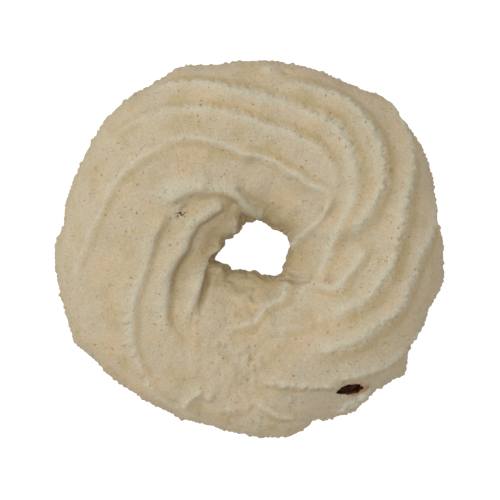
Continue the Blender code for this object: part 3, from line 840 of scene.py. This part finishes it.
def dough_material(colors, fruit, pocket_place):
    """Pale crumb: cream crests that are partly a painted highlight, tan hollows and hole side of painted
    shade, lower walls greyed by painted shade, peach patches, toasted specks and a browned base.
    """
    material, tree, shader = new_material("baked_dough", 0.9)
    shader.inputs["Specular IOR Level"].default_value = 0.25
    shader.inputs["Subsurface Weight"].default_value = 0.12
    shader.inputs["Subsurface Radius"].default_value = (1.0, 0.7, 0.4)
    shader.inputs["Subsurface Scale"].default_value = 0.001
    place = tree.nodes.new("ShaderNodeTexCoord").outputs["Object"]
    tone_and_shading = node(tree, "ShaderNodeAttribute", attribute_name="ridge_tone_and_shading").outputs["Fac"]
    torn = node(tree, "ShaderNodeAttribute", attribute_name="torn_lip").outputs["Fac"]
    cracked = node(tree, "ShaderNodeAttribute", attribute_name="cracked").outputs["Fac"]
    uneven = combine(tree, "SUBTRACT", noise_value(tree, place, UNEVEN_SIZE, 3.0), 0.5)
    tone_and_shading = combine(tree, "ADD", tone_and_shading, combine(tree, "MULTIPLY", uneven, TONE_UNEVEN))
    tone_and_shading = combine(tree, "ADD", tone_and_shading, torn)
    peach = patches(tree, place, PEACH_PATCH)
    golden = patches(tree, stretched(tree, place, GOLDEN_DRAW), GOLDEN_PATCH)
    color = mix_color(tree, peach, colors.flat, colors.blush)
    # Golden patches: the same tan colour at random, the dough's own colouring
    color = mix_color(tree, combine(tree, "MULTIPLY", golden, GOLDEN_SHARE), color, colors.tan_and_shade)
    parted = tree.nodes.new("ShaderNodeSeparateXYZ")
    tree.links.new(place, parted.inputs["Vector"])
    # Lower walls: painted shade, darker and greyer towards the base
    wall = remap(tree, parted.outputs["Z"], *WALL_RANGE)
    color = mix_color(tree, wall, color, colors.wall)
    in_pocket = node(tree, "ShaderNodeMapping", vector_type="TEXTURE", Location=pocket_place.translation,
                     Rotation=pocket_place.to_euler(), Scale=[axis * MM for axis in POCKET_SEMI_AXES])
    tree.links.new(place, in_pocket.inputs["Vector"])
    away = node(tree, "ShaderNodeVectorMath", operation="LENGTH")
    tree.links.new(in_pocket.outputs["Vector"], away.inputs[0])
    # Greyer dough round the fruit pocket, fading with distance from it
    grey_round_fruit = remap(tree, away.outputs["Value"], *GREY_ROUND_FRUIT_RANGE)
    color = mix_color(tree, grey_round_fruit, color, colors.grey_round_fruit)
    # Pale crests: partly paler crumb, partly a painted highlight
    color = mix_color(tree, remap(tree, tone_and_shading, *CREST_RANGE), color, colors.crest)
    color = mix_color(tree, combine(tree, "MULTIPLY", torn, TORN_SHARE), color, colors.torn)
    # Tan valleys: painted shade with less-dried dough
    color = mix_color(tree, remap(tree, tone_and_shading, *HOLLOW_RANGE), color, colors.tan_and_shade)
    color = mix_color(tree, 1.0, color, patches(tree, place, GRAIN_PATCH, *GRAIN_SHADES), "MULTIPLY")
    bent = bent_place(tree, place, *BEND)
    drawn_out = combine(tree, "MAXIMUM", *[specks(tree, stretched(tree, bent, factors), kind)
                                           for factors, kind in LONG_MARKS])
    marks = combine(tree, "MAXIMUM", drawn_out, specks(tree, bent, FINE_MARKS))
    marks = combine(tree, "MULTIPLY", marks, patches(tree, place, CLUSTER_PATCH, *CLUSTER_SHADES))
    color = mix_color(tree, combine(tree, "MULTIPLY", marks, MARK_SHARE), color, colors.speck)
    factors, kind = LONG_SPOTS
    spots = combine(tree, "MAXIMUM", specks(tree, bent, ROUND_SPOTS),
                    specks(tree, stretched(tree, bent, factors), kind))
    color = mix_color(tree, combine(tree, "MULTIPLY", spots, SPOT_SHARE), color, colors.toast)
    toasted = combine(tree, "MULTIPLY", specks(tree, bent, TOASTED_DOTS), TOASTED_SHARE)
    hairlines = combine(tree, "MULTIPLY", cracks(tree, place, HAIRLINES), HAIRLINE_SHARE)
    pores = combine(tree, "MAXIMUM", toasted, hairlines)
    color = mix_color(tree, pores, color, colors.pore)
    color = mix_color(tree, combine(tree, "MULTIPLY", cracks(tree, place, OPEN_CRACKS), cracked), color,
                      colors.crack)
    level = combine(tree, "ADD", parted.outputs["Z"], combine(tree, "MULTIPLY", uneven, BROWNED_UNEVEN))
    color = mix_color(tree, remap(tree, level, *BROWNED_RANGE), color, colors.base)
    sides = tree.nodes.new("ShaderNodeSeparateXYZ")
    tree.links.new(in_pocket.outputs["Vector"], sides.inputs["Vector"])
    edge = combine(tree, "ADD", away.outputs["Value"], combine(tree, "MULTIPLY", uneven, STAIN_UNEVEN))
    edge = combine(tree, "ADD", edge, combine(tree, "MULTIPLY", sides.outputs["X"], STAIN_LEAN))
    color = mix_color(tree, remap(tree, edge, *STAIN_RANGE), color, fruit.stain)
    tree.links.new(color, shader.inputs["Base Color"])
    bump = node(tree, "ShaderNodeBump", Strength=0.9, Distance=0.00012)
    sunk = combine(tree, "SUBTRACT", noise_value(tree, place, GRAIN_PATCH.size, 3.0, 0.65),
                   combine(tree, "MAXIMUM", pores, combine(tree, "MULTIPLY", marks, 0.5)))
    tree.links.new(sunk, bump.inputs["Height"])
    tree.links.new(bump.outputs["Normal"], shader.inputs["Normal"])
    return material


def pocket_material(fruit):
    """Moist stained crumb inside the pocket."""
    material, tree, shader = new_material("stained_crumb", 0.7)
    place = tree.nodes.new("ShaderNodeTexCoord").outputs["Object"]
    stained = patches(tree, place, STAINED_PATCH)
    tree.links.new(mix_color(tree, stained, fruit.flesh, fruit.stain), shader.inputs["Base Color"])
    return material


def fruit_material(fruit):
    """Dark dried fruit: wrinkled, with redder folds and a sticky shine."""
    material, tree, shader = new_material("dark_fruit", 0.6)
    place = tree.nodes.new("ShaderNodeTexCoord").outputs["Object"]
    shader.inputs["Specular IOR Level"].default_value = 0.12
    folds = patches(tree, place, WRINKLE_PATCH)
    tree.links.new(mix_color(tree, folds, fruit.flesh, fruit.fold), shader.inputs["Base Color"])
    bump = node(tree, "ShaderNodeBump", Strength=0.8, Distance=0.0002)
    tree.links.new(noise_value(tree, place, 0.0005, 4.0, 0.6), bump.inputs["Height"])
    tree.links.new(bump.outputs["Normal"], shader.inputs["Normal"])
    return material


class COOKIE_OT_ring(bpy.types.Operator):
    """Make the piped strand of dough with its pocket"""
    bl_idname = "cookie.make_ring"
    bl_label = "Make the ring"

    def execute(self, context):
        scene = context.scene
        settings = scene.cookie_ring
        steps = settings.top_steps + 2 * FOOT_STEPS + BASE_STEPS
        mesh = rolled_tube(settings.ring_steps, steps)
        centre = shape_strand(mesh, settings)
        scene["cookie_centre"] = centre.tolist()
        ring = link_mesh("cookie_dough", mesh)
        pocket_place = fruit_frame(centre, POCKET_DEPTH)
        mesh.materials.append(dough_material(scene.cookie_dough, scene.cookie_fruit, pocket_place))
        pocket_mesh = ball_mesh("pocket", POCKET_SEMI_AXES, pocket_place, POCKET_DETAIL, pocket_swell)
        pocket_mesh.materials.append(pocket_material(scene.cookie_fruit))
        pocket = link_mesh("pocket", pocket_mesh)
        cut = ring.modifiers.new("pocket", "BOOLEAN")
        cut.operation = "DIFFERENCE"
        cut.material_mode = "TRANSFER"
        cut.object = pocket
        whole = bpy.data.meshes.new_from_object(ring.evaluated_get(context.evaluated_depsgraph_get()))
        ring.modifiers.remove(cut)
        ring.data = whole
        whole.name = "cookie_dough"
        whole.shade_smooth()
        bpy.data.objects.remove(pocket, do_unlink=True)
        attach(ring, "root")
        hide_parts("cookie_ring")
        return {"FINISHED"}


class COOKIE_OT_fruit(bpy.types.Operator):
    """Make the dark piece of fruit that shows in the wall"""
    bl_idname = "cookie.make_fruit"
    bl_label = "Make the fruit"

    def execute(self, context):
        scene = context.scene
        wrinkle = scene.cookie_fruit.wrinkle / MM / FRUIT_SEMI_AXES[1]

        def swell(spot):
            return wrinkle * fruit_swell(spot)

        place = fruit_frame(np.array(scene["cookie_centre"]), FRUIT_DEPTH)
        mesh = ball_mesh("fruit", FRUIT_SEMI_AXES, place, FRUIT_DETAIL, swell)
        fruit = link_mesh("fruit", mesh)
        mesh.materials.append(fruit_material(scene.cookie_fruit))
        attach(fruit, "root")
        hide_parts("fruit_piece")
        return {"FINISHED"}


class COOKIE_OT_stage(bpy.types.Operator):
    """Make the floor, the lights and the camera"""
    bl_idname = "cookie.make_stage"
    bl_label = "Make the stage"

    def execute(self, context):
        scene = context.scene
        settings = scene.cookie_stage
        ground = bmesh.new()
        bmesh.ops.create_grid(ground, x_segments=1, y_segments=1, size=FLOOR_SIZE,
                              matrix=Matrix.Translation((0.0, 0.0, -FLOOR_DROP)))
        mesh = bpy.data.meshes.new("floor")
        ground.to_mesh(mesh)
        ground.free()
        material, tree, shader = new_material("floor", 0.9)
        shader.inputs["Base Color"].default_value = settings.floor_color
        shader.inputs["Specular IOR Level"].default_value = 0.1
        shader.inputs["Emission Color"].default_value = (1.0, 1.0, 1.0, 1.0)
        shader.inputs["Emission Strength"].default_value = settings.floor_glow
        side = tree.nodes.new("ShaderNodeNewGeometry").outputs["Backfacing"]
        tree.links.new(combine(tree, "SUBTRACT", 1.0, side), shader.inputs["Alpha"])
        mesh.materials.append(material)
        link_mesh("floor", mesh)
        world = bpy.data.worlds.new("soft_sky")
        world.use_nodes = True
        world.node_tree.nodes["Background"].inputs["Color"].default_value = settings.sky_color
        world.node_tree.nodes["Background"].inputs["Strength"].default_value = settings.sky
        scene.world = world
        key = self.add_light("key", settings.key_watts, KEY_SIZE, Vector(KEY_SPOT))
        key.color = settings.key_color
        self.add_light("overhead", settings.top_watts, TOP_SIZE, Vector(TOP_SPOT))
        self.add_camera(scene)
        scene.view_settings.view_transform = "Standard"
        return {"FINISHED"}

    def add_light(self, name, watts, size, spot):
        light = bpy.data.lights.new(name, "AREA")
        light.energy = watts
        light.shape = "SQUARE"
        light.size = size
        holder = bpy.data.objects.new(name, light)
        holder.location = spot
        holder.rotation_euler = (-spot).to_track_quat("-Z", "Y").to_euler()
        bpy.context.scene.collection.objects.link(holder)
        return light

    def add_camera(self, scene):
        lens = bpy.data.cameras.new("camera")
        lens.sensor_width = SENSOR_WIDTH
        lens.lens = SENSOR_WIDTH * (CAMERA_HEIGHT - WIDEST_LEVEL * MM) / FRAME_WIDTH
        lens.clip_start = CLIP_START
        lens.clip_end = CLIP_END
        camera = bpy.data.objects.new("camera", lens)
        camera.location = (FRAME_SHIFT[0], FRAME_SHIFT[1], CAMERA_HEIGHT)
        scene.collection.objects.link(camera)
        scene.camera = camera


class COOKIE_PT_sidebar(bpy.types.Panel):
    """Cookie tools in the 3D view's sidebar"""
    bl_idname = "COOKIE_PT_sidebar"
    bl_label = "Piped ring cookie"
    bl_space_type = "VIEW_3D"
    bl_region_type = "UI"
    bl_category = "Cookie"

    def draw(self, context):
        for title, group in (("Ring", "cookie_ring"), ("Dough", "cookie_dough"),
                             ("Fruit", "cookie_fruit"), ("Stage", "cookie_stage")):
            box = self.layout.box()
            box.label(text=title)
            settings = getattr(context.scene, group)
            for name in settings.__annotations__:
                box.prop(settings, name)
        for operator in OPERATORS:
            self.layout.operator(operator.bl_idname)


SETTINGS = (("cookie_ring", CookieRingSettings), ("cookie_dough", CookieDoughColors),
            ("cookie_fruit", CookieFruitSettings), ("cookie_stage", CookieStageSettings))
OPERATORS = (COOKIE_OT_ring, COOKIE_OT_fruit, COOKIE_OT_stage)


def register():
    for name, group in SETTINGS:
        bpy.utils.register_class(group)
        setattr(bpy.types.Scene, name, PointerProperty(type=group))
    for operator in OPERATORS:
        bpy.utils.register_class(operator)
    bpy.utils.register_class(COOKIE_PT_sidebar)


def unregister():
    bpy.utils.unregister_class(COOKIE_PT_sidebar)
    for operator in reversed(OPERATORS):
        bpy.utils.unregister_class(operator)
    for name, group in reversed(SETTINGS):
        delattr(bpy.types.Scene, name)
        bpy.utils.unregister_class(group)


def main():
    register()
    bpy.ops.cookie.make_ring()
    bpy.ops.cookie.make_fruit()
    bpy.ops.cookie.make_stage()


if __name__ == "__main__":
    main()
